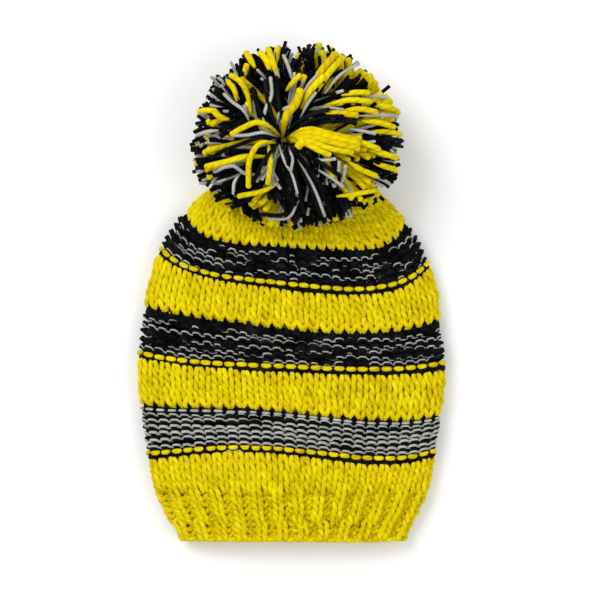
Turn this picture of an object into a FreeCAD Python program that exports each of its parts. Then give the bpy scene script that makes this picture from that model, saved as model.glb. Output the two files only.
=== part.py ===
import FreeCAD, Part
import math
import os

# A slouchy beanie in chunky knit, with three welted stripes and a loose pom-pom, lying on its back.
# Millimetres. +Z is up from the surface that it lies on, +Y runs from the hem to the pom-pom, and
# +X is the right-hand side of the face that shows. The origin is under the middle of the whole hat.

# Thickness of the knit, and how the two layers lie on each other.
WALL = 8.0  # one layer of chunky knit
FOLD_GAP = 6.0  # air between the layers at the side folds
RIDGE = 1.5  # how far a welted stripe stands out of the plain knit
FLAT_CUT = 0.4  # how much of the underside is pressed flat

# Half widths and thicknesses of the hat at the hem and at the crown.
HEM_HALF_WIDTH = 91.0
HEM_THICKNESS = 26.0
TIP_HALF_WIDTH = 24.0
CROWN_LENGTH = 59.2
CROWN_ROUNDNESS = (1.15, 2.0)  # exponents of the crown's outline between its base and its tip
CROWN_STATIONS = (0.3, 0.55, 0.75, 0.9)

# The knitted bands from the hem up: node, length along the middle, half width at its top,
# thickness at its top, how far it stands out, and how much its top row rises above the middle
# at the left fold, half way left, half way right and at the right fold.
BANDS = [
    ("rib_cuff", 41.0, 110.0, 30.0, 0, (0, 0, 0, 0)),
    ("forehead_section", 29.0, 116.5, 34.0, 0, (-4.8, 1.6, -7.6, -2.8)),
    ("lower_edge_row", 2.2, 117.0, 34.5, 0, (-4.2, 1.6, -7.0, -2.4)),
    ("lower_welt_row", 3.0, 117.5, 35.0, 0, (-2.8, 1.6, -6.0, -1.6)),
    ("lower_stripe", 29.6, 121.6, 37.0, RIDGE, (5.6, 3.2, -6.0, -3.2)),
    ("lower_body_section", 30.4, 124.5, 38.0, 0, (11.2, 3.6, -2.0, 2.4)),
    ("middle_edge_row", 2.6, 124.3, 38.0, 0, (10.8, 3.0, -2.0, 2.4)),
    ("middle_welt_row", 3.8, 124.0, 38.0, 0, (10.4, 2.4, -2.0, 2.4)),
    ("middle_stripe", 29.2, 121.4, 38.0, RIDGE, (18.0, 7.2, -2.8, 6.8)),
    ("upper_body_section", 29.2, 117.6, 38.0, 0, (28.4, 8.0, -3.2, 18.4)),
    ("upper_edge_row", 3.0, 117.0, 38.0, 0, (28.0, 7.2, -3.6, 17.2)),
    ("upper_welt_row", 4.2, 116.0, 37.6, 0, (27.2, 6.4, -4.0, 16.0)),
    ("upper_stripe", 28.8, 105.5, 36.0, RIDGE, (28.0, 4.0, -2.4, 20.0)),
]

# The yarns that close the crown and hold the pom-pom.
YARN_RADIUS = 2.2  # of the cord that holds the pom-pom
CINCH_RADIUS = 9.0  # of the drawn-up ring of yarn round the crown's tip
CINCH_YARN_RADIUS = 2.5
INNER_KNOT_RADIUS = 5.0
INNER_KNOT_ROOM = 1.0  # between the inner knot and each layer of knit at the crown's tip
OUTER_KNOT_RADIUS = 4.5
KNOT_CLEARANCE = 0.3  # round the outer knot, which the pom-pom turns on
SEAM_WIDTH = 6.0
SEAM_HEIGHT = 2.5
SEAM_MARGIN = 4.0  # from the hem to the seam's end

# The pom-pom: a loose ball of strands, tied at its middle and squashed by its own weight.
POM_HALF_WIDTH = 86.5
POM_HALF_LENGTH = 74.0
POM_HALF_HEIGHT = 54.0
POM_SINK = 4.0  # how far its round underside is pressed flat on the surface
POM_SIDEWAYS = 7.6  # its middle lies this far to the right
POM_BEYOND_TIP = 104.4  # from the crown's tip to its far side
TIE_RADIUS = 8.0
TIE_HEIGHT = 16.0
TIE_FROM_POM_MIDDLE = (-13.6, -6.6)  # the tie isn't quite in the middle of the ball
TIE_LEVEL = 54.0  # height of the tie's middle
CLUMPS = ("yellow", "black", "grey") * 3  # colours of the clumps, anticlockwise
FIRST_CLUMP_ANGLE = -35.0
CLUMP_GAP = 0.6
LIFT_ANGLE = 20.0  # how far the pom-pom tips up from the surface
LIFT_SLACK = 2.0
CROWN_CLEARANCE = 3.0  # between the top of the crown and the strands that hang over it
CEILING = BANDS[-1][3] + CROWN_CLEARANCE

SECTION_POINTS = 36
BEYOND = 15.0  # how far cutting tools reach past what they cut
REACH = max(band[2] for band in BANDS) + BEYOND
BIG = 2000.0  # side of a block that is larger than the hat

BODY_LENGTH = sum(band[1] for band in BANDS) + CROWN_LENGTH
OVERALL_LENGTH = BODY_LENGTH + POM_BEYOND_TIP
HEM_Y = -OVERALL_LENGTH / 2
TIP_Y = HEM_Y + BODY_LENGTH
FOLD_RADIUS = WALL + FOLD_GAP / 2
TIP_THICKNESS = 2 * (WALL + INNER_KNOT_RADIUS + INNER_KNOT_ROOM)
TIP_LEVEL = TIP_THICKNESS / 2
PIVOT = FreeCAD.Vector(0, TIP_Y + OUTER_KNOT_RADIUS + CINCH_YARN_RADIUS, TIP_LEVEL)
POM_MIDDLE = FreeCAD.Vector(
    POM_SIDEWAYS, TIP_Y + POM_BEYOND_TIP - POM_HALF_LENGTH, POM_HALF_HEIGHT - POM_SINK
)
TIE = FreeCAD.Vector(
    POM_MIDDLE.x + TIE_FROM_POM_MIDDLE[0], POM_MIDDLE.y + TIE_FROM_POM_MIDDLE[1], TIE_LEVEL
)


def stations():
    """Height above the hem, half width and thickness, from the hem to the crown's tip."""
    _, cuff_length, cuff_half_width, cuff_thickness, _, _ = BANDS[0]
    half_way = ((HEM_HALF_WIDTH + cuff_half_width) / 2, (HEM_THICKNESS + cuff_thickness) / 2)
    found = [(0.0, HEM_HALF_WIDTH, HEM_THICKNESS), (cuff_length / 2, *half_way)]
    height = 0.0
    for _, length, half_width, thickness, _, _ in BANDS:
        height += length
        if length > WALL:
            found.append((height, half_width, thickness))
    _, base, base_thickness = found[-1]
    p, q = CROWN_ROUNDNESS
    for s in CROWN_STATIONS + (1.0,):
        share = (1 - s**p) ** (1 / q)
        half_width = TIP_HALF_WIDTH + (base - TIP_HALF_WIDTH) * share
        thickness = base_thickness + (TIP_THICKNESS - base_thickness) * s
        found.append((height + CROWN_LENGTH * s, half_width, thickness))
    return found


def section(y, half_width, low, top):
    """A closed curve across the hat: nearly flat below, domed above, with round side folds."""
    points = []
    for k in range(SECTION_POINTS):
        angle = 2 * math.pi * (k / SECTION_POINTS + 0.25)  # starts at the top, on the middle plane
        u = math.cos(angle)
        if math.sin(angle) >= 0:
            z = FOLD_RADIUS + (top - FOLD_RADIUS) * math.sin(angle)
        else:
            z = FOLD_RADIUS - (FOLD_RADIUS - low) * math.sqrt(max(0, 1 - abs(u) ** 24))
        points.append(FreeCAD.Vector(half_width * u, y, z))
    spacing = [k / SECTION_POINTS for k in range(SECTION_POINTS + 1)]
    curve = Part.BSplineCurve()
    curve.interpolate(Points=points, PeriodicFlag=True, Parameters=spacing)
    return Part.Wire([curve.toShape()])


def below_surface():
    """Everything under the surface that the hat lies on."""
    return Part.makeBox(BIG, BIG, BIG, FreeCAD.Vector(-BIG / 2, -BIG / 2, -BIG))


def outer_form(proud):
    """The outside of the hat as one solid, with its underside pressed flat."""
    wires = [section(HEM_Y + h, w + proud, -FLAT_CUT, t + proud) for h, w, t in stations()]
    form = Part.makeLoft(wires, True, False)
    return form.cut(below_surface())


def inner_form():
    """The hollow inside the hat, open at the hem and ending a wall's thickness before the tip."""
    shrink = (BODY_LENGTH - WALL) / BODY_LENGTH
    inside = [(h * shrink, w - WALL, t - WALL) for h, w, t in stations()]
    _, hem_width, hem_top = inside[0]
    inside[0] = (-BEYOND, hem_width, hem_top)
    wires = [section(HEM_Y + h, w, WALL, t) for h, w, t in inside]
    return Part.makeLoft(wires, True, False)


def half_width_at(height):
    """The hat's half width at this height above the hem."""
    found = stations()
    for (low, low_width, _), (high, high_width, _) in zip(found, found[1:]):
        if height <= high:
            return low_width + (high_width - low_width) * (height - low) / (high - low)
    return TIP_HALF_WIDTH


def row_line(height, rises):
    """The curve of a knitted row in plan, carried on past both folds."""
    left, half_left, half_right, right = rises
    shares = [(-1, left), (-0.5, half_left), (0, 0), (0.5, half_right), (1, right)]
    spots = [(share * half_width_at(height + rise), rise) for share, rise in shares]
    spots = [(-REACH, left)] + spots + [(REACH, right)]
    curve = Part.BSplineCurve()
    curve.interpolate([FreeCAD.Vector(x, HEM_Y + height + rise, -BEYOND) for x, rise in spots])
    return curve.toShape()


def between(lower, upper):
    """A tall block between two row lines."""
    ends = [Part.makeLine(lower.Vertexes[i].Point, upper.Vertexes[i].Point) for i in (0, -1)]
    face = Part.Face(Part.Wire(Part.__sortEdges__([lower, upper] + ends)))
    return face.extrude(FreeCAD.Vector(0, 0, REACH))


def knitted_bands():
    """Every band of the hat, cut from one hollow form by the lines of its first and last rows."""
    hollow = inner_form()
    forms = {proud: outer_form(proud).cut(hollow) for proud in (0, RIDGE)}
    made, height = {}, 0.0
    lower = row_line(height, (0, 0, 0, 0))
    for node, length, _, _, proud, rises in BANDS:
        height += length
        upper = row_line(height, rises)
        made[node] = forms[proud].common(between(lower, upper))
        lower = upper
    end = row_line(BODY_LENGTH + BEYOND, (0, 0, 0, 0))
    made["crown_section"] = forms[0].common(between(lower, end))
    return made


def crown_yarns(crown):
    """The ring that draws the crown shut, the tail through it and the knot inside, cut into it."""
    tip = FreeCAD.Vector(0, TIP_Y, TIP_LEVEL)
    along = FreeCAD.Vector(0, 1, 0)
    ring = Part.makeTorus(CINCH_RADIUS, CINCH_YARN_RADIUS, tip, along)
    knot_middle = tip - along * (WALL + INNER_KNOT_RADIUS)
    knot = Part.makeSphere(INNER_KNOT_RADIUS, knot_middle)
    tail_end = PIVOT.y - OUTER_KNOT_RADIUS - KNOT_CLEARANCE
    tail = Part.makeCylinder(YARN_RADIUS, tail_end - knot_middle.y, knot_middle, along).cut(knot)
    return {
        "crown_section": crown.cut(Part.makeCompound([ring, tail])),
        "crown_cinch": ring,
        "anchor_knot": knot,
        "anchor_tail": tail,
    }


def back_seam():
    """The ridge of the seam inside the back layer, from the hem to where the crown draws in."""
    start = HEM_Y + SEAM_MARGIN
    length = BODY_LENGTH - CROWN_LENGTH / 2 - SEAM_MARGIN
    corner = FreeCAD.Vector(-SEAM_WIDTH / 2, start, WALL)
    return Part.makeBox(SEAM_WIDTH, length, SEAM_HEIGHT, corner)


def ball():
    """The squashed ball that the pom-pom fills, flat where it rests."""
    form = Part.makeSphere(1.0)
    scale = FreeCAD.Matrix()
    scale.scale(POM_HALF_WIDTH, POM_HALF_LENGTH, POM_HALF_HEIGHT)
    scale.move(POM_MIDDLE)
    form = form.transformGeometry(scale)
    return form.cut(below_surface())


def crown_room():
    """The room under the strands that hang over the crown, so that they clear it as they tip."""
    near = PIVOT.y + CINCH_YARN_RADIUS
    far = near - 2 * POM_HALF_LENGTH
    rise = (near - far) * math.tan(math.radians(LIFT_ANGLE + LIFT_SLACK))
    corners = [(near, -BEYOND), (near, CEILING), (far, CEILING + rise), (far, -BEYOND)]
    points = [FreeCAD.Vector(-2 * REACH, y, z) for y, z in corners]
    face = Part.Face(Part.makePolygon(points + points[:1]))
    return face.extrude(FreeCAD.Vector(4 * REACH, 0, 0))


def clump_prism(index):
    """A tall wedge round the tie that one clump of strands fills."""
    step = 2 * math.pi / len(CLUMPS)
    start = math.radians(FIRST_CLUMP_ANGLE) + index * step
    inset = CLUMP_GAP / 2 / math.sin(step / 2)
    middle = start + step / 2
    apex = TIE + FreeCAD.Vector(math.cos(middle), math.sin(middle), 0) * inset
    points = [FreeCAD.Vector(apex.x, apex.y, -BEYOND)]
    for angle in (start, middle, start + step):
        far = FreeCAD.Vector(math.cos(angle), math.sin(angle), 0) * 4 * POM_HALF_WIDTH
        points.append(points[0] + far)
    face = Part.Face(Part.makePolygon(points + points[:1]))
    return face.extrude(FreeCAD.Vector(0, 0, 4 * POM_HALF_HEIGHT))


def pom_pom():
    """The tie, the cord down to the crown, and the strands in clumps of each colour."""
    base = TIE - FreeCAD.Vector(0, 0, TIE_HEIGHT / 2)
    tie = Part.makeCylinder(TIE_RADIUS, TIE_HEIGHT, base)
    room = Part.makeSphere(OUTER_KNOT_RADIUS + KNOT_CLEARANCE, PIVOT)
    run = TIE - PIVOT
    cord = Part.makeCylinder(YARN_RADIUS, run.Length, PIVOT, run).cut(tie).cut(room)
    form = ball().cut(crown_room()).cut(room).cut(tie).cut(cord)
    upper = Part.makeBox(BIG, BIG, BIG, FreeCAD.Vector(-BIG / 2, -BIG / 2, CEILING))
    made = {"pom_tie": tie, "pom_anchor_cord": cord}
    for colour in sorted(set(CLUMPS)):
        solids = []
        for index, name in enumerate(CLUMPS):
            if name == colour:
                clump = form.common(clump_prism(index))
                solids += clump.common(upper).Solids + clump.cut(upper).Solids
        made["pom_" + colour + "_strands"] = Part.makeCompound(solids)
    return made


def main():
    """Makes every piece and writes one file for each."""
    pieces = knitted_bands()
    pieces.update(crown_yarns(pieces["crown_section"]))
    pieces["back_seam"] = back_seam()
    pieces["outer_knot"] = Part.makeSphere(OUTER_KNOT_RADIUS, PIVOT)
    pieces.update(pom_pom())
    os.makedirs("parts", exist_ok=True)
    for node, shape in pieces.items():
        shape.exportStep("parts/" + node + ".step")


main()
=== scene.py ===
import math

import bpy
import numpy as np
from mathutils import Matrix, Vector


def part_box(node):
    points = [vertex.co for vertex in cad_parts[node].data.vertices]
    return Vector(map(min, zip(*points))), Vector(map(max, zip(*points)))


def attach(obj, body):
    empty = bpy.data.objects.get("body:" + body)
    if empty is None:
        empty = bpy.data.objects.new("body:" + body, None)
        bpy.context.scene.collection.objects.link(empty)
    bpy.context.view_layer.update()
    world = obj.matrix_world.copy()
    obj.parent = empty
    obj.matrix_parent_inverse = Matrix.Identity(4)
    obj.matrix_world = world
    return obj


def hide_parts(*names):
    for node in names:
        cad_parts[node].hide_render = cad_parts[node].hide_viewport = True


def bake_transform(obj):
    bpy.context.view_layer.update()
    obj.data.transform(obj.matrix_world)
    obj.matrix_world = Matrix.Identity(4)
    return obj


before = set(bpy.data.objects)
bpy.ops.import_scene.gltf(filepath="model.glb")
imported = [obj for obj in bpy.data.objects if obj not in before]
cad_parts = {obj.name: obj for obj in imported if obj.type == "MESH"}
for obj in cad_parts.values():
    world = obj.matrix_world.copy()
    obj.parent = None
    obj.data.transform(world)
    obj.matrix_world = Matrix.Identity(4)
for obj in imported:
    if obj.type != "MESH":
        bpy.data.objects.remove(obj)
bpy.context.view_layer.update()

# A chunky-knit slouchy beanie with a loose pom-pom, lying on its back. Metres, +Z up, +Y from the
# hem to the pom-pom. Every course of the knit is its own yarn, looped as it is on the real hat.

for thing in bpy.context.selected_objects:
    thing.select_set(False)

MM = 0.001
UP = np.array([0.0, 0.0, 1.0])
WALL = 8.0 * MM
FOLD_RADIUS = 11.0 * MM  # of the round side folds, outside
STITCHES = 52  # round the body
CROWN_STITCHES = (46, 40, 34, 28, 22, 17, 13)  # the steps in which the crown is decreased
LEAST_STITCH_WIDTH = 7.4 * MM
LOOP_POINTS = 16  # points along one stitch of the yellow yarn
THIN_LOOP_POINTS = 13  # and of each black or grey yarn
YARN_RADIUS = 2.1 * MM  # the yellow yarn
CAST_ON_RADIUS = 2.0 * MM
CAST_ON_POINTS = 10  # points along one stitch of the cast-on edge

HEM_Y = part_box("rib_cuff")[0][1]
TIP_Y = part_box("crown_section")[1][1]
HEM_HALF_WIDTH = 91.0 * MM
HEM_THICKNESS = 26.0 * MM
TIP_HALF_WIDTH = 24.0 * MM
TIP_THICKNESS = 28.0 * MM
CROWN_LENGTH = 59.2 * MM
CROWN_ROUNDNESS = (1.15, 2.0)

# The bands from the hem up: node, courses, length along the middle, half width and thickness at
# the top, and how far the top course rises above the middle at the left fold, half way left,
# half way right and at the right fold. Millimetres.
BANDS = [
    ("rib_cuff", 8, 41.0, 110.0, 30.0, (0, 0, 0, 0)),
    ("forehead_section", 4, 29.0, 116.5, 34.0, (-4.8, 1.6, -7.6, -2.8)),
    ("lower_edge_row", 1, 2.2, 117.0, 34.5, (-4.2, 1.6, -7.0, -2.4)),
    ("lower_welt_row", 1, 3.0, 117.5, 35.0, (-2.8, 1.6, -6.0, -1.6)),
    ("lower_stripe", 7, 29.6, 121.6, 37.0, (5.6, 3.2, -6.0, -3.2)),
    ("lower_body_section", 5, 30.4, 124.5, 38.0, (11.2, 3.6, -2.0, 2.4)),
    ("middle_edge_row", 1, 2.6, 124.3, 38.0, (10.8, 3.0, -2.0, 2.4)),
    ("middle_welt_row", 1, 3.8, 124.0, 38.0, (10.4, 2.4, -2.0, 2.4)),
    ("middle_stripe", 6, 29.2, 121.4, 38.0, (18.0, 7.2, -2.8, 6.8)),
    ("upper_body_section", 5, 29.2, 117.6, 38.0, (28.4, 8.0, -3.2, 18.4)),
    ("upper_edge_row", 1, 3.0, 117.0, 38.0, (28.0, 7.2, -3.6, 17.2)),
    ("upper_welt_row", 1, 4.2, 116.0, 37.6, (27.2, 6.4, -4.0, 16.0)),
    ("upper_stripe", 6, 28.8, 105.5, 36.0, (28.0, 4.0, -2.4, 20.0)),
    ("crown_section", 9, 59.2, 24.0, 28.0, (0, 0, 0, 0)),
]


def smooth_through(x, xs, ys):
    """A smooth curve through given points, with the slope at each from its neighbours."""
    xs, ys = np.asarray(xs, float), np.asarray(ys, float)
    slopes = np.gradient(ys, xs, axis=0)
    i = np.clip(np.searchsorted(xs, x) - 1, 0, len(xs) - 2)
    span = xs[i + 1] - xs[i]
    f = np.clip((x - xs[i]) / span, 0, 1)
    a, b = f * f * (3 - 2 * f), f * (1 - f) ** 2 * span
    c = f * f * (f - 1) * span
    return ys[i] * (1 - a) + ys[i + 1] * a + slopes[i] * b + slopes[i + 1] * c


class HatForm:
    """The middle surface of the knit: where a course and a share of the way round it lie."""

    PER_COURSE = 4  # rows of points in each course
    ROUND = 832  # points in each row
    TRACED = 1441  # points that a row is traced with before they are spaced evenly
    FLATNESS = 24  # how squarely the side that lies down meets the folds

    def __init__(self):
        self.first = {}
        starts, heights, rises, count, height = [0], [0.0], [(0, 0, 0, 0)], 0, 0.0
        for node, courses, length, _, _, rise in BANDS:
            self.first[node] = count
            count += courses
            height += length * MM
            starts.append(count)
            heights.append(height)
            rises.append(rise)
        self.courses = count
        self.outline()
        t = np.arange(count * self.PER_COURSE + 1) / self.PER_COURSE
        centre = np.interp(t, starts, heights)
        rises = np.stack([np.interp(t, starts, [r[k] for r in rises]) for k in range(4)], axis=1)
        self.points = np.stack([self.round_course(h, r * MM) for h, r in zip(centre, rises)])
        along = np.gradient(self.points, axis=0)
        wrapped = np.concatenate([self.points[:, -1:], self.points, self.points[:, :1]], axis=1)
        across = wrapped[:, 2:] - wrapped[:, :-2]
        normal = np.cross(along, across)
        self.normals = normal / np.linalg.norm(normal, axis=2, keepdims=True)
        steps = np.linalg.norm(np.diff(wrapped[:, 1:], axis=1), axis=2)
        self.girth = steps.sum(axis=1)

    def outline(self):
        """Half width and thickness against height above the hem."""
        cuff = BANDS[0]
        found = [(0.0, HEM_HALF_WIDTH, HEM_THICKNESS)]
        half = ((HEM_HALF_WIDTH / MM + cuff[3]) / 2, (HEM_THICKNESS / MM + cuff[4]) / 2)
        found.append((cuff[2] / 2 * MM, half[0] * MM, half[1] * MM))
        height = 0.0
        for _, courses, length, half_width, thickness, _ in BANDS[:-1]:
            height += length * MM
            if courses > 1:
                found.append((height, half_width * MM, thickness * MM))
        _, base, base_thickness = found[-1]
        p, q = CROWN_ROUNDNESS
        for s in (0.15, 0.3, 0.45, 0.6, 0.7, 0.8, 0.9, 0.96, 1.0):
            share = (1 - s**p) ** (1 / q)
            width = TIP_HALF_WIDTH + (base - TIP_HALF_WIDTH) * share
            thickness = base_thickness + (TIP_THICKNESS - base_thickness) * s
            found.append((height + CROWN_LENGTH * s, width, thickness))
        self.heights, self.widths, self.thicknesses = (np.array(v) for v in zip(*found))

    def round_course(self, height, rise):
        """Points evenly spaced round the hat at one height, from the right fold over the front."""
        angle = np.linspace(0, 2 * math.pi, self.TRACED)
        u = np.cos(angle)
        spots, values = np.array([-1, -0.5, 0, 0.5, 1]), np.insert(rise, 2, 0.0)
        y = height + np.polyval(np.polyfit(spots, values, 4), u)
        y = np.minimum(y, self.heights[-1])
        half_width = smooth_through(y, self.heights, self.widths) - WALL / 2
        top = smooth_through(y, self.heights, self.thicknesses) - WALL / 2
        front = FOLD_RADIUS + (top - FOLD_RADIUS) * np.sin(angle)
        flat = np.sqrt(np.clip(1 - np.abs(u) ** self.FLATNESS, 0, 1))
        back = FOLD_RADIUS - (FOLD_RADIUS - WALL / 2) * flat
        z = np.where(angle <= math.pi, front, back)
        path = np.stack([half_width * u, HEM_Y + y, z], axis=1)
        steps = np.linalg.norm(np.diff(path, axis=0), axis=1)
        share = np.concatenate([[0], np.cumsum(steps)]) / steps.sum()
        even = np.arange(self.ROUND) / self.ROUND
        return np.stack([np.interp(even, share, path[:, k]) for k in range(3)], axis=1)

    def place(self, course, share, out):
        """Points and normals at these courses and shares of the way round, raised out of the surface.

        A place below the hem lies straight on from the first course."""
        r = np.clip(course * self.PER_COURSE, 0, len(self.points) - 1.001)
        c = (share % 1.0) * self.ROUND
        i, j = r.astype(int), c.astype(int) % self.ROUND
        f, g = (r - i)[..., None], (c - np.floor(c))[..., None]
        nxt = (j + 1) % self.ROUND
        found = []
        for table in (self.points, self.normals):
            low = table[i, j] * (1 - g) + table[i, nxt] * g
            high = table[i + 1, j] * (1 - g) + table[i + 1, nxt] * g
            found.append(low * (1 - f) + high * f)
        past = (course * self.PER_COURSE - r)[..., None] / self.PER_COURSE
        step = self.points[self.PER_COURSE] - self.points[0]
        along = np.where(past < 0, step[j], 0)
        return found[0] + past * along + found[1] * out[..., None], found[1]


form = HatForm()
rng = np.random.default_rng(7)


def wander(count, knots, size):
    """Smooth closed noise of this size along a course."""
    values = rng.normal(0, size, knots)
    at = np.arange(count) / count * knots
    i = at.astype(int)
    f = at - i
    f = f * f * (3 - 2 * f)
    return values[i % knots] * (1 - f) + values[(i + 1) % knots] * f


def pressed(z):
    """Heights with the lowest yarn pressed thinner on the surface that the hat lies on."""
    low, high, thin = -2.4 * MM, 1.6 * MM, 0.1 * MM
    share = np.clip((z - low) / (high - low), 0, 1)
    return np.where(z < high, thin + share * (high - thin), z)


class Mesh:
    """Collects tubes of yarn for one piece: vertices, quads, their UVs and their materials."""

    def __init__(self):
        self.points, self.quads, self.uvs, self.slots, self.count = [], [], [], [], 0

    def tube(self, path, normal, radius, sides, slot=0, closed=True):
        """A tube along a path, with U along it in metres and V once round it."""
        path = np.asarray(path, float)
        n = len(path)
        if closed:
            ahead, behind = np.roll(path, -1, axis=0), np.roll(path, 1, axis=0)
        else:
            ahead = np.concatenate([path[1:], path[-1:]])
            behind = np.concatenate([path[:1], path[:-1]])
        along = ahead - behind
        along /= np.linalg.norm(along, axis=1, keepdims=True) + 1e-12
        side = np.cross(normal, along)
        side /= np.linalg.norm(side, axis=1, keepdims=True) + 1e-12
        up = np.cross(along, side)
        angle = np.arange(sides) / sides * 2 * math.pi
        radius = np.broadcast_to(np.asarray(radius, float), (n,))[:, None, None]
        ring = side[:, None] * np.cos(angle)[:, None] + up[:, None] * np.sin(angle)[:, None]
        points = (path[:, None] + ring * radius).reshape(-1, 3)
        points[:, 2] = pressed(points[:, 2])
        length = np.concatenate([[0], np.cumsum(np.linalg.norm(np.diff(path, axis=0), axis=1))])
        rows = np.arange(n if closed else n - 1)
        nxt = (rows + 1) % n
        k = np.arange(sides)
        k2 = (k + 1) % sides
        quads = np.stack(
            [
                rows[:, None] * sides + k,
                rows[:, None] * sides + k2,
                nxt[:, None] * sides + k2,
                nxt[:, None] * sides + k,
            ],
            axis=2,
        ).reshape(-1, 4)
        end = np.append(length, length[-1] + np.linalg.norm(path[0] - path[-1]))
        u0, u1 = end[rows], end[rows + 1]
        v0, v1 = k / sides, (k + 1) / sides
        uv = np.zeros((len(rows), sides, 4, 2))
        uv[:, :, 0:2, 0] = u0[:, None, None]
        uv[:, :, 2:4, 0] = u1[:, None, None]
        uv[:, :, 0, 1] = uv[:, :, 3, 1] = v0
        uv[:, :, 1, 1] = uv[:, :, 2, 1] = v1
        uv[..., 0] += rng.random() * 0.5  # so that no two yarns start on the same fibres
        uv = uv.reshape(-1, 4, 2)
        if not closed:
            cap = self.cap(sides)
            quads = np.concatenate([quads, cap[:, ::-1], cap + (n - 1) * sides])
            cap_uv = np.zeros((2 * len(cap), 4, 2))
            cap_uv[..., 0], cap_uv[..., 1] = uv[-1, 2, 0], np.arange(4) / 8
            uv = np.concatenate([uv, cap_uv])
        self.add(points, quads, uv, slot)

    @staticmethod
    def cap(sides):
        """Quads that fill a ring of 6 or 8 points."""
        if sides == 6:
            return np.array([[0, 1, 2, 3], [0, 3, 4, 5]])
        return np.array([[0, 1, 2, 3], [0, 3, 4, 7], [4, 5, 6, 7]])

    def add(self, points, quads, uv, slot):
        """Puts one more tube into the piece."""
        self.points.append(points)
        self.quads.append(quads + self.count)
        self.uvs.append(uv)
        self.slots.append(np.full(len(quads), slot))
        self.count += len(points)

    def build(self, name, materials, body, slot, *nodes):
        """The finished piece, which rides on a body and stands in for these nodes."""
        points, quads = np.concatenate(self.points), np.concatenate(self.quads)
        uvs, slots = np.concatenate(self.uvs), np.concatenate(self.slots)
        data = bpy.data.meshes.new(name)
        data.vertices.add(len(points))
        data.vertices.foreach_set("co", points.ravel().astype(np.float32))
        data.loops.add(quads.size)
        data.loops.foreach_set("vertex_index", quads.ravel().astype(np.int32))
        data.polygons.add(len(quads))
        data.polygons.foreach_set("loop_start", np.arange(0, quads.size, 4, dtype=np.int32))
        data.polygons.foreach_set("material_index", slots.astype(np.int32))
        data.polygons.foreach_set("use_smooth", np.ones(len(quads), bool))
        layer = data.uv_layers.new(name="yarn")
        layer.uv.foreach_set("vector", uvs.ravel().astype(np.float32))
        data.update(calc_edges=True)
        data.validate()
        for material in materials:
            data.materials.append(material)
        obj = bpy.data.objects.new(name, data)
        bpy.context.scene.collection.objects.link(obj)
        if body:
            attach(obj, body)
        if nodes:
            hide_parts(*nodes)
        return obj


def loop_centres(count, points):
    """How far along a course each point is, in stitches."""
    return np.arange(count * points) / points


# Each stitch gives, for places along a course counted in stitches, how far round the hat the yarn
# is, how many courses it is above the middle of its own, and how far it stands out.


def knit(u):
    """Plain stitches: both legs in front, heads and feet behind; one leg leans, one stands."""
    turn = 2 * math.pi * u
    sideways = 0.17 * np.sin(2 * turn) + 0.13 * np.cos(turn)
    return u + sideways, 0.94 * np.cos(turn), -2.0 * MM * np.cos(2 * turn)


def knit_over_stripe(u):
    """The first plain course over a stripe: its legs meet in points between which black shows."""
    turn = 2 * math.pi * u
    t = 0.94 * np.cos(turn)
    sideways = 0.25 * np.sin(2 * turn) + 0.04 * np.cos(turn)
    out = -2.0 * np.cos(2 * turn) + np.where(t < 0, t, 0) * 0.9
    return u + sideways, np.where(t < 0, t * 0.72, t), out * MM


def ridge(u):
    """Purl stitches: the heads lie in front as low arches, the feet behind them."""
    turn = 2 * math.pi * u
    sideways = 0.1 * np.sin(2 * turn) + 0.06 * np.cos(turn)
    out = 1.2 * np.cos(turn) + 0.4 * np.cos(2 * turn)
    return u + sideways, 0.19 * np.cos(turn), out * MM


def ridge_top(u):
    """The last course of a stripe, whose heads go behind the plain stitches above it."""
    turn = 2 * math.pi * u
    out = -0.9 - 0.5 * np.cos(turn)
    return u + 0.22 * np.sin(2 * turn), 0.5 * np.cos(turn), out * MM


def dash(u):
    """Heads that show as a row of dashes, each ending where the yarn dives behind."""
    turn = 2 * math.pi * u
    out = 2.3 * np.cos(turn) + 0.3 * np.cos(2 * turn)
    return u + 0.16 * np.sin(2 * turn), 0.12 * np.cos(turn) + 0.1, out * MM


def high_dash(u):
    """Thin dashes just under the plain stitches."""
    s, t, out = dash(u)
    return s, t - 0.42, out * 0.8 + 0.6 * MM


def dash_size(u):
    """The yarn is full where it shows as a dash and thin where it dives."""
    return (1.45 + 0.55 * np.cos(2 * math.pi * u)) * MM


def groove(u):
    """A course that lies sunk under the dashes, and comes up between them."""
    turn = 2 * math.pi * u
    return u, 0.2 - 0.42 * np.cos(turn), (0.8 - 0.5 * np.cos(turn)) * MM


def rib(u):
    """One plain stitch, one purl stitch; the plain ones stand out and are a little wider."""
    turn = 2 * math.pi * u
    face = np.cos(math.pi * u)
    face = np.sign(face) * np.abs(face) ** 0.6
    sideways = 0.16 * np.sin(2 * turn) + 0.14 * np.cos(turn) * face + 0.04 * np.sin(math.pi * u)
    out = face * (2.6 - 1.7 * np.cos(2 * turn)) - 1.2
    return u + sideways, 0.86 * np.cos(turn), out * MM


def first_rib(u):
    """The first course of the rib, whose feet are caught in the cast-on edge."""
    s, t, out = rib(u)
    return s, np.where(t < 0, t * 0.2, t * 0.9), out * np.where(t < 0, 0.75, 1.0)


def cast_on(u):
    """The edge at the hem, a rope of small bumps."""
    turn = 2 * math.pi * u
    return u + 0.1 * np.sin(turn), -0.2 + 0.04 * np.cos(turn), 1.3 * MM * np.sin(turn)


def stitches_at(course):
    """Stitches in a course: they are decreased in steps where the crown draws in."""
    girth = form.girth[min(int((course + 0.5) * form.PER_COURSE), len(form.girth) - 1)]
    for count in (STITCHES, *CROWN_STITCHES):
        if girth / count > LEAST_STITCH_WIDTH:
            break
    return count


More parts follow.
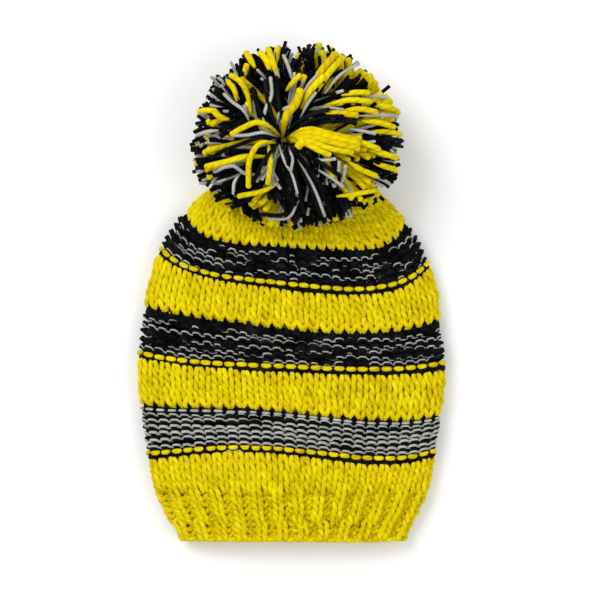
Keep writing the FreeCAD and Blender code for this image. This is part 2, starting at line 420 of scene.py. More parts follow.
def course_path(course, stitch, points):
    """Points and normals of one whole course, uneven from stitch to stitch and in a few long waves."""
    count = stitches_at(course)
    u = loop_centres(count, points)
    s, t, out = stitch(u)
    n = len(u)
    s = s + (wander(n, count, 0.035) + wander(n, 9, 0.06))
    t = t * (1 + wander(n, count, 0.06))
    t = t + (wander(n, count, 0.03) + wander(n, 11, 0.05))
    out = out + (wander(n, count, 0.25) + wander(n, 13, 0.25)) * MM
    return form.place(course + 0.5 + t, (s + 0.25) / count, out)


def single(mesh, course, stitch, radius=YARN_RADIUS, slot=0, sides=8, points=LOOP_POINTS):
    """A course of one yarn."""
    path, normal = course_path(course, stitch, points)
    mesh.tube(path, normal, radius, sides, slot)


def strands(mesh, course, stitch, yarns, shown, waver, spread=1.3):
    """Thin yarns worked as one, which turn about each other, so that the grey comes and goes."""
    path, normal = course_path(course, stitch, THIN_LOOP_POINTS)
    along = np.roll(path, -1, axis=0) - np.roll(path, 1, axis=0)
    along /= np.linalg.norm(along, axis=1, keepdims=True)
    down = np.cross(normal, along)
    down /= np.linalg.norm(down, axis=1, keepdims=True)
    up = np.cross(along, down)
    knots = len(path) // THIN_LOOP_POINTS // 2  # the grey turns over every two stitches
    turn = math.radians(shown) + wander(len(path), knots, 1.0) * waver
    for radius, slot, beside in yarns:
        angle = (turn + math.radians(beside))[:, None]
        offset = up * np.sin(angle) - down * np.cos(angle)
        mesh.tube(path + offset * spread * MM, normal, radius * MM, 6, slot)


# Each yarn of a marled course: radius in millimetres, 0 for black and 1 for grey, and where it
# lies round the middle of the bundle in degrees.
MOSTLY_BLACK = ((0.66, 1, 0), (1.35, 0, 85), (1.35, 0, 180), (1.35, 0, 275))
GREY_IN_LOWER_STRIPE = (1.0, 1.15, 1.25, 1.2, 0.95, 0.8)  # radius of the grey, from the bottom up


def mostly_grey(radius):
    """The yarns of a marled course whose grey has this radius in millimetres."""
    return ((radius, 1, 0), (1.3, 0, 75), (1.35, 0, 150), (1.35, 0, 220), (1.2, 0, 290))


# Materials.


def socket(group, name, kind, way, value=None):
    """A named input or output of a node group."""
    made = group.interface.new_socket(name=name, in_out=way, socket_type=kind)
    if value is not None:
        made.default_value = value
    return made


class Nodes:
    """A short way to add and join nodes in one tree."""

    def __init__(self, tree):
        self.tree = tree

    def add(self, kind, **settings):
        node = self.tree.nodes.new(kind)
        for key, value in settings.items():
            setattr(node, key, value)
        return node

    def link(self, a, b):
        self.tree.links.new(a, b)

    def math(self, operation, a, b=None):
        """The output of a Math node on sockets or plain numbers."""
        node = self.add("ShaderNodeMath", operation=operation)
        for i, value in enumerate((a, b)):
            if value is None:
                continue
            if isinstance(value, (int, float)):
                node.inputs[i].default_value = value
            else:
                self.link(value, node.inputs[i])
        return node.outputs[0]


PLIES = 2.0
FIBRE_SCALE = 3.0  # how fine the fibres are round a yarn


def fibre_group():
    """Fibres and plies wound round a yarn, from its own UV map: a height and three masks.

    The Ply mask is low in the grooves between the plies; it darkens the colour there as painted shade.
    """
    group = bpy.data.node_groups.new("yarn_fibres", "ShaderNodeTree")
    socket(group, "Plies", "NodeSocketFloat", "INPUT", PLIES)
    socket(group, "Twist per metre", "NodeSocketFloat", "INPUT", 90.0)
    socket(group, "Ply depth", "NodeSocketFloat", "INPUT", 0.4)
    socket(group, "Fibre scale", "NodeSocketFloat", "INPUT", FIBRE_SCALE)
    for name in ("Height", "Fibres", "Shade", "Ply"):
        socket(group, name, "NodeSocketFloat", "OUTPUT")
    n = Nodes(group)
    inputs, outputs = n.add("NodeGroupInput"), n.add("NodeGroupOutput")
    uv = n.add("ShaderNodeUVMap", uv_map="yarn")
    split = n.add("ShaderNodeSeparateXYZ")
    n.link(uv.outputs[0], split.inputs[0])
    u, v = split.outputs[0], split.outputs[1]
    wound = n.math("ADD", v, n.math("MULTIPLY", u, inputs.outputs["Twist per metre"]))
    angle = n.math("MULTIPLY", wound, 2 * math.pi)
    plies = n.math("MULTIPLY", angle, inputs.outputs["Plies"])
    ply = n.math("ABSOLUTE", n.math("SINE", n.math("MULTIPLY", plies, 0.5)))
    join = n.add("ShaderNodeCombineXYZ")
    n.link(n.math("MULTIPLY", u, 160.0), join.inputs[0])
    n.link(n.math("MULTIPLY", n.math("COSINE", angle), inputs.outputs["Fibre scale"]), join.inputs[1])
    n.link(n.math("MULTIPLY", n.math("SINE", angle), inputs.outputs["Fibre scale"]), join.inputs[2])
    fine = n.add("ShaderNodeTexNoise")
    fine.inputs["Scale"].default_value = 1.6
    fine.inputs["Detail"].default_value = 4.0
    fine.inputs["Roughness"].default_value = 0.65
    n.link(join.outputs[0], fine.inputs["Vector"])
    long = n.add("ShaderNodeTexNoise", noise_dimensions="1D")
    long.inputs["Scale"].default_value = 24.0
    long.inputs["Detail"].default_value = 3.0
    n.link(u, long.inputs["W"])
    deep = n.math("MULTIPLY", ply, inputs.outputs["Ply depth"])
    n.link(n.math("ADD", deep, n.math("MULTIPLY", fine.outputs[0], 0.7)), outputs.inputs["Height"])
    n.link(fine.outputs[0], outputs.inputs["Fibres"])
    n.link(long.outputs[0], outputs.inputs["Shade"])
    # Ply: high on the plies and low in the grooves between them; it only darkens the colour there, as
    # painted shade.
    n.link(n.math("POWER", ply, 0.5), outputs.inputs["Ply"])
    return group


FIBRES = fibre_group()


def yarn_material(name, dark, middle, light, sheen, twist, ply_depth, bump):
    """Spun yarn: fibres along it, plies wound round it, and colour that drifts from loop to loop.

    The colour is also a little darker in the grooves between the plies, as painted shade.
    """
    material = bpy.data.materials.new(name)
    material.use_nodes = True
    n = Nodes(material.node_tree)
    shader = material.node_tree.nodes["Principled BSDF"]
    fibres = n.add("ShaderNodeGroup", node_tree=FIBRES)
    fibres.inputs["Plies"].default_value = PLIES
    fibres.inputs["Twist per metre"].default_value = twist
    fibres.inputs["Ply depth"].default_value = ply_depth
    fibres.inputs["Fibre scale"].default_value = FIBRE_SCALE
    where = n.add("ShaderNodeTexCoord")
    patch = n.add("ShaderNodeTexNoise")
    patch.inputs["Scale"].default_value = 55.0
    patch.inputs["Detail"].default_value = 3.0
    n.link(where.outputs["Object"], patch.inputs["Vector"])
    blend = n.math("MULTIPLY", fibres.outputs["Fibres"], 0.42)
    blend = n.math("ADD", blend, n.math("MULTIPLY", fibres.outputs["Shade"], 0.28))
    blend = n.math("ADD", blend, n.math("MULTIPLY", patch.outputs[0], 0.2))
    # Painted shade: the colour is a little darker in the grooves between the plies.
    blend = n.math("ADD", blend, n.math("MULTIPLY", fibres.outputs["Ply"], 0.1))
    ramp = n.add("ShaderNodeValToRGB")
    ramp.color_ramp.elements[0].position = 0.36
    ramp.color_ramp.elements[0].color = (*dark, 1)
    ramp.color_ramp.elements[1].position = 0.64
    ramp.color_ramp.elements[1].color = (*light, 1)
    middle_stop = ramp.color_ramp.elements.new(0.5)
    middle_stop.color = (*middle, 1)
    n.link(blend, ramp.inputs[0])
    n.link(ramp.outputs[0], shader.inputs["Base Color"])
    rough = n.add("ShaderNodeMapRange")
    rough.inputs["To Min"].default_value = 0.72
    rough.inputs["To Max"].default_value = 0.92
    n.link(fibres.outputs["Fibres"], rough.inputs[0])
    n.link(rough.outputs[0], shader.inputs["Roughness"])
    lumps = n.add("ShaderNodeBump")
    lumps.inputs["Strength"].default_value = bump
    lumps.inputs["Distance"].default_value = 0.9 * MM
    n.link(fibres.outputs["Height"], lumps.inputs["Height"])
    n.link(lumps.outputs[0], shader.inputs["Normal"])
    shader.inputs["Sheen Weight"].default_value = sheen
    shader.inputs["Sheen Roughness"].default_value = 0.5
    shader.inputs["Specular IOR Level"].default_value = 0.06
    return material


YELLOW = yarn_material(
    "yellow_wool", (0.41, 0.28, 0.0), (0.71, 0.555, 0.0), (0.90, 0.76, 0.004), 0.0, 70, 0.6, 0.9
)
BLACK = yarn_material(
    "black_wool", (0.0, 0.0, 0.0), (0.001, 0.001, 0.001), (0.017, 0.017, 0.018), 0.0, 150, 0.6, 0.9
)
GREY = yarn_material(
    "grey_wool", (0.24, 0.24, 0.215), (0.42, 0.42, 0.38), (0.60, 0.60, 0.55), 0.05, 150, 0.6, 0.8
)


# The knitted bands.


LOWER_FIRST_COURSES = 3  # of the lower stripe, which are a piece of their own
THIN_DASH = 0.55  # the grey dashes at the top of the lower stripe, beside the yellow ones


def stripe(mesh, courses, last, greyer):
    """Ridges of marled yarn; the last course goes behind the plain knit above it."""
    for course in courses:
        if course == last:
            strands(mesh, course, ridge_top, MOSTLY_BLACK, 250, 0.3)
            if greyer:
                size = dash_size(loop_centres(stitches_at(course), LOOP_POINTS)) * THIN_DASH
                single(mesh, course, high_dash, size, slot=1, sides=6)
        elif greyer:
            grey = mostly_grey(GREY_IN_LOWER_STRIPE[course - form.first["lower_stripe"]])
            strands(mesh, course, ridge, grey, 62, 0.35, 1.25)
        else:
            strands(mesh, course, ridge, MOSTLY_BLACK, 75, 1.9, 1.2)


def plain_or_rib(mesh, node, courses):
    """Yellow courses: the first is worked into the cast-on edge or over a stripe."""
    for course in courses:
        if course > courses[0] or node == "forehead_section":
            single(mesh, course, rib if node == "rib_cuff" else knit)
        else:
            single(mesh, course, first_rib if node == "rib_cuff" else knit_over_stripe)
    if node == "rib_cuff":
        single(mesh, courses[0], cast_on, CAST_ON_RADIUS, points=CAST_ON_POINTS)


def knitted_hat():
    """Every band from the hem up, each as a piece of its own."""
    for node, count, *_ in BANDS:
        mesh = Mesh()
        first = form.first[node]
        courses = range(first, first + count)
        materials, slot = [YELLOW], "yellow_yarn"
        if node.endswith("stripe"):
            materials, slot = [BLACK, GREY], "marl_yarn"
            greyer = node == "lower_stripe"
            if greyer:
                stripe(mesh, courses[:LOWER_FIRST_COURSES], courses[-1], greyer)
                mesh.build(node + "_first_courses", materials, "hat", slot)
                mesh = Mesh()
            stripe(mesh, courses[LOWER_FIRST_COURSES if greyer else 0:], courses[-1], greyer)
        elif node.endswith("edge_row"):
            materials, slot = [BLACK, GREY], "black_yarn"
            waver = 1.2 if node == "lower_edge_row" else 0.4
            strands(mesh, first, groove, MOSTLY_BLACK, 250, waver, 1.0)
        elif node.endswith("welt_row"):
            single(mesh, first, dash, dash_size(loop_centres(stitches_at(first), LOOP_POINTS)))
        else:
            plain_or_rib(mesh, node, courses)
        mesh.build(node + "_knit", materials, "hat", slot, node)


knitted_hat()


# The pom-pom.


def box_of(node):
    """The lowest and highest corner of a CAD part."""
    low, high = (np.array(corner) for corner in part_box(node))
    return low, high


TIE_LOW, TIE_HIGH = box_of("pom_tie")
TIE = (TIE_LOW + TIE_HIGH) / 2
KNOT_LOW, KNOT_HIGH = box_of("outer_knot")
PIVOT = (KNOT_LOW + KNOT_HIGH) / 2
POM_MIDDLE = TIE[:2] + np.array([11.2, -5.6]) * MM  # in plan
# Half its width, and its reach from there away from the hat and towards it.
POM_HALF_WIDTH, POM_AWAY, POM_NEAR = 83.0 * MM, 83.0 * MM, 63.0 * MM
POM_TOP = 48.0 * MM  # how high its strands rise over the tie
SWING = 15  # degrees that the pom-pom swings to each side
OVER_CROWN_Y = PIVOT[1] - 4 * MM  # strands that end nearer the hem than this lie over the crown
STRAND_CLEARANCE = 3.4 * MM  # from the middle of a strand to the crown
REST_CLEARANCE = 3.6 * MM  # a tip within this of the crown rests on it
TOP_STRAND_CLEARANCE = 6.0 * MM
STRAND_POINTS, TOP_STRAND_POINTS = 13, 15  # points along one strand

# Clumps that lie as they were combed: azimuth, latitude and width in degrees, and which yarn.
CLUMPS = [
    (-10, 46, 14, "yellow"), (8, 40, 10, "marl"), (16, 22, 9, "yellow"), (26, 50, 12, "marl"),
    (40, 34, 15, "marl"), (58, 30, 9, "yellow"), (72, 56, 10, "marl"), (84, 30, 12, "marl"),
    (96, 14, 9, "yellow"), (104, 50, 17, "marl"), (122, 42, 8, "yellow"), (128, 56, 12, "marl"),
    (142, 26, 12, "marl"), (156, 46, 14, "marl"), (176, 54, 10, "marl"), (186, 36, 9, "yellow"),
    (200, 52, 12, "marl"), (206, 24, 8, "yellow"), (218, 34, 14, "marl"), (240, 54, 10, "marl"),
    (250, 30, 8, "yellow"), (274, 50, 18, "marl"), (298, 40, 14, "marl"), (316, 52, 12, "marl"),
    (330, 26, 10, "yellow"), (346, 20, 10, "yellow"),
]
# Single strands on the outside: yarn, how thick for its kind, and where it runs in plan from the
# tie, in millimetres.
TOP_STRANDS = [
    ("yellow", 1.35, (-1, 1), (2, 16), (10, 26), (13, 36)),
    ("yellow", 1.0, (3, 1), (17, 6), (38, 2), (57, -2)),
    ("yellow", 1.0, (4, 1), (18, 3), (40, -1), (58, -5)),
    ("yellow", 1.0, (3, 0), (18, 0), (40, -5), (58, -9)),
    ("yellow", 1.0, (4, -1), (18, -3), (36, -9), (53, -12)),
    ("yellow", 1.0, (5, -2), (18, -6), (28, -11), (36, -14)),
    ("yellow", 1.0, (20, 14), (38, 18), (57, 17)),
    ("yellow", 1.2, (5, 1), (12, 0), (14, -4), (11, -8)),
    ("black", 1.3, (2, 4), (12, 12), (22, 17), (35, 21)),
    ("black", 1.3, (14, 15), (30, 17), (44, 15), (56, 10)),
    ("black", 1.0, (12, 3), (16, -3), (18, -9), (21, -14)),
    ("grey", 1.1, (-5, 9), (-3, 18), (2, 22), (7, 23)),
    ("grey", 1.2, (-4, 3), (-15, 12), (-14, 20), (-9, 32), (-10, 46)),
    ("yellow", 0.95, (-25, 18), (-28, 34), (-34, 44), (-41, 49)),
    ("yellow", 0.9, (-36, 28), (-38, 37), (-43, 44)),
    ("yellow", 1.0, (-3, 2), (-10, 8), (-20, 11), (-31, 7), (-40, 2)),
    ("grey", 1.1, (-4, 1), (-16, 3), (-29, 1), (-39, 1)),
    ("grey", 1.2, (-26, 12), (-31, 21), (-39, 27), (-46, 34)),
    ("yellow", 0.95, (-6, -4), (-18, -5), (-25, -15), (-27, -38)),
    ("yellow", 0.9, (-12, -4), (-10, -19), (-12, -36)),
    ("yellow", 0.9, (-4, -35), (-13, -40), (-35, -45)),
    ("yellow", 0.95, (-13, -15), (-29, -15), (-45, -19), (-60, -22)),
    ("grey", 1.1, (-15, -22), (-20, -28), (-29, -28), (-39, -22), (-54, -26)),
    ("grey", 1.1, (-34, -28), (-38, -34), (-39, -43)),
    ("grey", 1.1, (-4, -4), (1, -19), (7, -30), (11, -43)),
    ("grey", 1.0, (3, -7), (7, -17), (6, -26)),
    ("black", 1.2, (2, -4), (9, -28), (13, -45), (16, -58)),
    ("black", 1.2, (0, -4), (4, -26), (7, -40), (9, -52)),
    ("black", 1.2, (9, -17), (20, -37), (29, -60)),
    ("grey", 1.1, (11, -17), (23, -38), (32, -60)),
    ("black", 1.2, (21, -24), (31, -45), (37, -60)),
    ("black", 1.1, (10, -49), (2, -58), (-18, -59)),
    ("grey", 1.1, (12, -48), (4, -61), (-12, -62)),
    ("grey", 1.1, (21, -16), (30, -18), (40, -17)),
    ("grey", 1.1, (25, -24), (38, -32), (46, -38)),
    ("grey", 1.1, (44, -38), (47, -28), (48, -22)),
    ("grey", 1.1, (36, -34), (42, -27), (43, -19)),
    ("yellow", 0.95, (49, -18), (59, -24), (72, -29)),
    ("yellow", 0.9, (41, -45), (56, -43), (71, -40)),
    ("black", 1.1, (40, -47), (55, -47), (70, -43)),
    ("yellow", 1.1, (14, 22), (21, 36), (31, 47)),
    ("yellow", 1.1, (22, 38), (28, 50), (41, 66)),
    ("yellow", 1.1, (26, 36), (34, 49), (46, 63)),
    ("yellow", 0.8, (2, 36), (8, 43), (13, 48)),
    ("grey", 1.1, (14, 30), (19, 40), (26, 48)),
    ("grey", 1.1, (32, 34), (43, 48), (59, 59)),
    ("grey", 1.1, (13, 15), (19, 26), (25, 34)),
    ("yellow", 1.0, (-10, 50), (-13, 60), (-18, 67)),
    ("yellow", 1.0, (-5, 48), (-8, 58), (-12, 70)),
    ("grey", 1.2, (7, 44), (3, 57), (0, 64)),
    ("yellow", 0.95, (36, 26), (52, 29), (67, 28)),
    ("yellow", 0.95, (45, 33), (56, 35), (66, 35)),
    ("yellow", 0.95, (44, 20), (60, 22), (72, 20)),
    ("yellow", 1.1, (-42, 14), (-49, 16), (-54, 21)),
    ("yellow", 1.0, (60, 13), (74, 12), (86, 9)),
    ("grey", 1.2, (50, 7), (61, 5), (71, 3)),
    ("yellow", 1.0, (68, 5), (80, 5), (91, 4)),
    ("yellow", 1.0, (54, -2), (64, -5), (74, -9)),
    ("yellow", 1.0, (66, -9), (78, -12), (88, -15)),
    ("yellow", 0.95, (70, -19), (80, -22), (89, -24)),
    ("grey", 1.2, (62, 31), (72, 33), (80, 32)),
    ("yellow", 1.0, (70, 26), (80, 25), (90, 22)),
    ("grey", 1.2, (58, 17), (73, 18), (89, 18)),
    ("black", 1.1, (66, 0), (80, 0), (93, -1)),
    ("grey", 1.2, (68, -28), (77, -31), (84, -34)),
    ("yellow", 1.0, (-50, 20), (-58, 22), (-66, 22)),
    ("grey", 1.2, (-50, 6), (-59, 5), (-67, 3)),
    ("yellow", 1.0, (-22, 55), (-27, 64), (-30, 70)),
    ("black", 1.2, (-2, 3), (-8, 14), (-12, 28), (-14, 44)),
    ("black", 1.2, (0, 4), (-1, 16), (-4, 28), (-5, 42)),
    ("black", 1.2, (-2, 2), (-12, 12), (-20, 24), (-24, 38)),
    ("black", 1.2, (5, 4), (20, 9), (38, 12), (56, 12)),
    ("black", 1.2, (4, 2), (18, 11), (32, 15), (46, 16)),
    ("black", 1.2, (8, -8), (20, -15), (32, -22), (44, -30)),
    ("black", 1.2, (4, -4), (12, -16), (22, -28), (32, -42)),
    ("black", 1.2, (-3, -3), (-10, -12), (-18, -24), (-24, -36)),
    ("black", 1.2, (-4, 0), (-18, -1), (-34, -6), (-50, -12)),
]
STRAND_RADII = {"yellow": 2.4, "black": 1.4, "grey": 1.2}  # millimetres
RANDOM_CLUMPS = 110
STRANDS = 1750  # tried; thick ones are thinned out afterwards
THICK_LEFT_OUT = 0.55  # share of the yellow strands, which fill more room than the thin ones
STRAYS = {True: 0.24, False: 0.06}  # share of the other kind in a yellow clump, and in a marled one
GREY_SHARE = 0.2  # of the thin strands
LONGEST = 1.005  # a strand's reach, as a share of the ball's outline
GATHERED = 0.35  # how far a strand is drawn towards the middle of its clump
# Sines of the lowest and highest latitude of a strand, and of the highest one of a random clump.
LOWEST, HIGHEST = math.sin(math.radians(-48)), math.sin(math.radians(66))
HIGHEST_CLUMP = 0.62


def reach_of(azimuth):
    """From the tie to the pom-pom's egg-shaped outline in plan, in this direction."""
    d = np.array([math.cos(azimuth), math.sin(azimuth)])
    for half_length in (POM_AWAY, POM_NEAR):
        half = np.array([POM_HALF_WIDTH, half_length])
        e, o = d / half, (TIE[:2] - POM_MIDDLE) / half
        a, b, c = e @ e, e @ o, o @ o - 1
        reach = (-b + math.sqrt(b * b - a * c)) / a
        if TIE[1] + d[1] * reach > POM_MIDDLE[1]:
            break
    return reach


def crown_top(x, y):
    """Height of the crown's upper side under a point, and nothing beyond its outline."""
    height = np.clip(y - HEM_Y, 0, form.heights[-1])
    half_width = smooth_through(height, form.heights, form.widths)
    top = smooth_through(height, form.heights, form.thicknesses)
    inside = np.clip(1 - (x / half_width) ** 2, 0, 1)
    found = FOLD_RADIUS + (top - FOLD_RADIUS) * np.sqrt(inside)
    return np.where((np.abs(x) < half_width) & (y < TIP_Y + 3 * MM), found, 0)


def clear_of_crown(x, y):
    """The crown's greatest height under a point, wherever the pom-pom's swing takes it."""
    across, along = x - PIVOT[0], y - PIVOT[1]
    found = 0.0
    for angle in np.radians(np.linspace(-SWING, SWING, 7)):
        c, s = math.cos(angle), math.sin(angle)
        swung = crown_top(PIVOT[0] + c * across - s * along, PIVOT[1] + s * across + c * along)
        found = np.maximum(found, swung)
    return found


def strand_path(corners, kink, hook):
    """A strand with kinks along it and a hooked tip, kept over the crown and the floor."""
    f = np.linspace(0, 1, STRAND_POINTS)[:, None]
    a, b, c, d = corners
    path = a * (1 - f) ** 3 + 3 * b * f * (1 - f) ** 2 + 3 * c * f**2 * (1 - f) + d * f**3
    path += kink * np.sin(f * 9 + kink[0] * 3000) * f + hook * np.clip(f - 0.6, 0, 1) ** 2 * 6
    floor = clear_of_crown(path[:, 0], path[:, 1]) + STRAND_CLEARANCE
    path[:, 2] = np.maximum(path[:, 2], floor)
    return path


def clump_list():
    """Each clump: azimuth, latitude, width, yarn, how far it bows aside, and its length."""
    clumps = [[math.radians(a), math.radians(b), math.radians(w), k] for a, b, w, k in CLUMPS]
    while len(clumps) < len(CLUMPS) + RANDOM_CLUMPS:
        azimuth = rng.uniform(0, 2 * math.pi)
        latitude = math.asin(rng.uniform(LOWEST, HIGHEST_CLUMP))
        kind = "yellow" if rng.random() < 0.31 + 0.09 * math.cos(azimuth) else "marl"
        clumps.append([azimuth, latitude, math.radians(rng.uniform(7, 14)), kind])
    for clump in clumps:
        clump += [rng.normal(0, 11) * MM, rng.normal(0.985, 0.03)]
    return clumps


def strand(azimuth, latitude, aside, length):
    """The path of one strand in a clump that bows this far aside and has this share of the reach."""
    out = np.array([math.cos(azimuth), math.sin(azimuth), 0.0])
    side = np.array([-out[1], out[0], 0.0])
    reach = reach_of(azimuth) * min(length + rng.normal(0, 0.018), LONGEST)
    high = math.sin(latitude)
    steep = max(0.0, high)
    tip = TIE + out * reach * math.cos(latitude) ** 0.85
    tip[2] += POM_TOP * high - (6 + 5 * rng.random()) * MM * math.cos(latitude)
    start = TIE + out * 3 * MM + side * rng.normal(0, 2.5) * MM
    start[2] += 6 * MM * high
    bow = side * (aside + rng.normal(0, 3.5) * MM)
    lift = out * (6 + 20 * (1 - steep)) * MM
    lift[2] += 42 * steep * MM if high > 0 else 14 * high * MM
    rise = 0.38 * high - 0.1 * rng.random()
    leave = (out * 0.34 + np.array([0, 0, rise])) * reach
    kink = rng.normal(0, 0.7, 3) * MM
    hook = rng.normal(0, 2.0, 3) * MM
    return strand_path((start, start + lift + bow * 0.5, tip - leave + bow, tip), kink, hook)


def pom_pom():
    """The strands of the ball and those over the crown, each with a mesh for each colour."""
    ball = {name: Mesh() for name in ("yellow", "black", "grey")}
    over = {name: Mesh() for name in ball}
    clumps, resting = clump_list(), []
    azimuths, latitudes, widths = (np.array([c[k] for c in clumps]) for k in range(3))

    def put(colour, path, size=1.0):
        put_strand(over if path[-1][1] < OVER_CROWN_Y else ball, colour, path, size)

    for _ in range(STRANDS):
        azimuth = rng.uniform(0, 2 * math.pi)
        latitude = math.asin(rng.uniform(LOWEST, HIGHEST))
        turn = np.angle(np.exp(1j * (azimuths - azimuth)))
        away = np.hypot(turn * math.cos(latitude), latitudes - latitude) / widths
        k = int(away.argmin())
        azimuth += GATHERED * turn[k]
        latitude += GATHERED * (latitudes[k] - latitude)
        thick = clumps[k][3] == "yellow"
        if rng.random() < STRAYS[thick]:
            thick = not thick
        if thick and rng.random() < THICK_LEFT_OUT:
            continue
        colour = "yellow" if thick else ("grey" if rng.random() < GREY_SHARE else "black")
        path = strand(azimuth, latitude, *clumps[k][4:])
        if path[-1][2] < clear_of_crown(*path[-1][:2]) + REST_CLEARANCE and latitude < -0.2:
            resting.append((colour, path))
        else:
            put(colour, path)
    for colour, size, *points in TOP_STRANDS:
        put(colour, top_strand(points), size)
    for colour, path in resting[::2]:  # half of them fill the room under the ball
        path[:, 2] += np.linspace(0, 1, len(path)) ** 2 * rng.uniform(0, 9) * MM
        put(colour, path)
    return ball, over


def top_strand(points):
    """A strand on the outside of the ball, through points in plan from the tie."""
    points = np.array(points, float) * MM
    steps = np.concatenate([[0], np.cumsum(np.linalg.norm(np.diff(points, axis=0), axis=1))])
    f = np.linspace(0, steps[-1], TOP_STRAND_POINTS)
    x, y = (smooth_through(f, steps, points[:, k]) for k in (0, 1))
    distance = np.hypot(x, y)
    reach = np.array([reach_of(angle) for angle in np.arctan2(y, x)])
    x, y = x + TIE[0], y + TIE[1]
    base = np.where(y < TIP_Y, clear_of_crown(x, y) + TOP_STRAND_CLEARANCE, TIE[2] - 6 * MM)
    dome = np.sqrt(np.clip(1 - (distance / reach) ** 2, 0, 1)) ** 0.8
    whorl = np.clip(distance / (15 * MM), 0, 1) ** 0.5  # the dip over the tie
    top = TIE[2] + (POM_TOP + 0.2 * MM) * whorl
    share = f / steps[-1]
    lift = share**2 * 2 * MM
    if distance[0] > 9 * MM:  # a strand that doesn't start at the tie comes up from inside the ball
        lift -= (1 - share) ** 2 * 7 * MM
    return np.stack([x, y, base + (top - base) * dome + lift], axis=1)


def put_strand(meshes, colour, path, size=1.0):
    """One cut strand: thin where the tie squeezes it, blunt at its tip."""
    thick = colour == "yellow"
    radius = STRAND_RADII[colour] * MM * rng.uniform(0.9, 1.08) * size
    along = path[-1] - path[-2]
    along /= np.linalg.norm(along)
    path = np.concatenate([path, path[-1:] + along * radius * 0.35])
    f = np.linspace(0, 1, len(path))
    size = radius * (0.45 + 0.55 * np.clip(f / 0.35, 0, 1))
    size[-1] = radius * 0.72
    meshes[colour].tube(path, UP, size, 8 if thick else 6, closed=False)


POM_MESHES, OVER_MESHES = pom_pom()
for name, material in (("yellow", YELLOW), ("black", BLACK), ("grey", GREY)):
    node = "pom_" + name + "_strands"
    POM_MESHES[name].build("pom_" + name + "_ball", [material], "pom", name + "_yarn", node)
    draped = OVER_MESHES[name].build("pom_" + name + "_over_crown", [material], None, name + "_yarn")
    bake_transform(draped)


# The yarns that close the crown and hold the pom-pom.


PLY_RADIUS, PLY_OFFSET = 1.1 * MM, 1.0 * MM  # of the two yarns twisted into the cord and the tail


def knot_path(middle, size):
    """A trefoil, as a closed knot of one yarn."""
    points = 48
    t = np.arange(points) / points * 2 * math.pi
    x, y = np.sin(t) + 2 * np.sin(2 * t), np.cos(t) - 2 * np.cos(2 * t)
    return np.asarray(middle) + np.stack([x, -np.sin(3 * t), y], axis=1) / 3 * size


def twisted_pair(run, share, turns):
    """Two yarns twisted round each other along a run."""
    mesh = Mesh()
    for side in (0, math.pi):
        angle = share * turns * 2 * math.pi + side
        twist = np.concatenate([np.cos(angle), np.zeros_like(angle), np.sin(angle)], axis=1)
        mesh.tube(run + twist * PLY_OFFSET, UP, PLY_RADIUS, 6, closed=False)
    return mesh


def tie():
    """A yarn wound five times round the middle of the pom-pom's strands."""
    radius, yarn = 6.2 * MM, 1.5 * MM
    turn = np.linspace(0, 10 * math.pi, 120)
    rise = np.linspace(TIE_LOW[2] + yarn, TIE_HIGH[2] - yarn, len(turn))
    coil = np.stack([TIE[0] + radius * np.cos(turn), TIE[1] + radius * np.sin(turn), rise], axis=1)
    mesh = Mesh()
    mesh.tube(coil, UP, yarn, 8, closed=False)
    mesh.build("pom_tie_yarn", [BLACK], "pom", "black_yarn", "pom_tie")


def anchor_cord():
    """From the outer knot to the tie."""
    share = np.linspace(0, 1, 30)[:, None]
    run = PIVOT + (TIE - PIVOT) * (0.16 + share * 0.74)
    mesh = twisted_pair(run, share, 3)
    mesh.build("pom_anchor_cord_yarn", [BLACK], "pom", "black_yarn", "pom_anchor_cord")


def knots():
    """The knot outside the crown and the one inside it."""
    mesh = Mesh()
    mesh.tube(knot_path(PIVOT, 3.2 * MM), UP, 1.3 * MM, 8)
    mesh.build("outer_knot_yarn", [BLACK], "knot", "black_yarn", "outer_knot")
    low, high = box_of("anchor_knot")
    mesh = Mesh()
    mesh.tube(knot_path((low + high) / 2, 3.6 * MM), UP, 1.4 * MM, 8)
    mesh.build("anchor_knot_yarn", [BLACK], "hat", "black_yarn", "anchor_knot")


def anchor_tail():
    """Through the crown, from one knot to the other."""
    low, high = box_of("anchor_tail")
    middle = (low + high) / 2
    share = np.linspace(0, 1, 16)[:, None]
    run = np.array([middle[0], low[1], middle[2]]) + np.array([0, high[1] - low[1], 0]) * share
    mesh = twisted_pair(run, share, 1.5)
    mesh.build("anchor_tail_yarn", [BLACK], "hat", "black_yarn", "anchor_tail")


def crown_cinch():
    """The yarn that draws the crown shut, in a ring that runs in and out of the last course."""
    low, high = box_of("crown_cinch")
    middle, half = (low + high) / 2, (high - low) / 2
    t = np.arange(96) / 96 * 2 * math.pi
    wave = 0.6 * MM * np.sin(13 * t)
    ring = half[0] - 2.4 * MM
    path = np.stack([ring * np.cos(t), wave, ring * np.sin(t)], axis=1) + middle
    mesh = Mesh()
    mesh.tube(path, np.array([0.0, 1.0, 0.0]), 2.0 * MM, 8)
    mesh.build("crown_cinch_yarn", [YELLOW], "hat", "yellow_yarn", "crown_cinch")


def back_seam():
    """A zigzag of sewing up the side that the hat lies on."""
    low, high = box_of("back_seam")
    stitches, points, margin = 42, 10, 3 * MM
    u = np.arange(stitches * points) / points
    zigzag = np.sin(math.pi * u) * 2.2 * MM
    along = low[1] + margin + u / stitches * (high[1] - low[1] - 2 * margin)
    lift = low[2] + 1.3 * MM + 0.6 * MM * np.cos(2 * math.pi * u)
    mesh = Mesh()
    mesh.tube(np.stack([zigzag, along, lift], axis=1), UP, 1.2 * MM, 8, closed=False)
    mesh.build("back_seam_yarn", [YELLOW], "hat", "yellow_yarn", "back_seam")


tie()
anchor_cord()
knots()
anchor_tail()
crown_cinch()
back_seam()


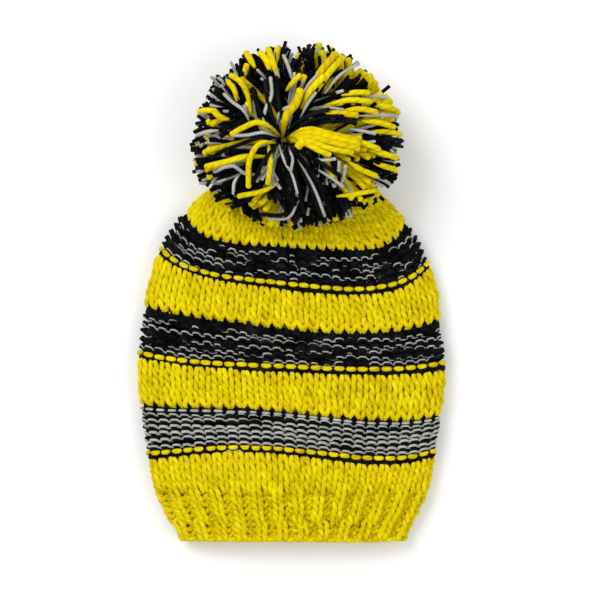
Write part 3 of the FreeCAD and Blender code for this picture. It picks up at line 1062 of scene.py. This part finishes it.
# The floor, the light and the camera.

CAMERA_OFFSET = (6.8 * MM, -6.4 * MM)
FRAME_WIDTH, FRAME_HEIGHT = 480 * MM, 22 * MM  # how wide the view is, and how high up it is that wide
LENS, SENSOR = 150.0, 36.0
CAMERA_HEIGHT = FRAME_WIDTH * LENS / SENSOR + FRAME_HEIGHT
ROOM_LIGHT = 0.68
# Each light: name, place and size in metres, and power in watts.
LIGHTS = (
    ("key_light", (-0.9, 0.9, 1.6), 1.1, 23),
    ("fill_light", (1.2, -0.3, 1.5), 1.2, 9),
)


def floor_and_room():
    """White paper just under the hat, in an evenly lit room."""
    bpy.ops.mesh.primitive_plane_add(size=8, location=(0, 0, -0.0003))
    floor = bpy.context.object
    floor.name = "floor"
    paper = bpy.data.materials.new("white_paper")
    paper.use_nodes = True
    shader = paper.node_tree.nodes["Principled BSDF"]
    shader.inputs["Base Color"].default_value = (0.92, 0.92, 0.92, 1)
    shader.inputs["Roughness"].default_value = 0.9
    floor.data.materials.append(paper)

    world = bpy.data.worlds.new("soft_room")
    world.use_nodes = True
    world.node_tree.nodes["Background"].inputs[0].default_value = (1, 1, 1, 1)
    world.node_tree.nodes["Background"].inputs[1].default_value = ROOM_LIGHT
    bpy.context.scene.world = world


def lights():
    """Two broad lamps that face the hat."""
    for name, place, size, power in LIGHTS:
        data = bpy.data.lights.new(name, "AREA")
        data.size = size
        data.energy = power
        light = bpy.data.objects.new(name, data)
        light.location = place
        light.rotation_euler = (Vector((0, 0, 0)) - light.location).to_track_quat("-Z", "Y").to_euler()
        bpy.context.scene.collection.objects.link(light)


def camera_above():
    """Straight down on the hat."""
    data = bpy.data.cameras.new("camera")
    data.lens = LENS
    data.sensor_width = SENSOR
    camera = bpy.data.objects.new("camera", data)
    camera.location = (*CAMERA_OFFSET, CAMERA_HEIGHT)
    bpy.context.scene.collection.objects.link(camera)
    bpy.context.scene.camera = camera
    bpy.context.scene.view_settings.view_transform = "Standard"


floor_and_room()
lights()
camera_above()
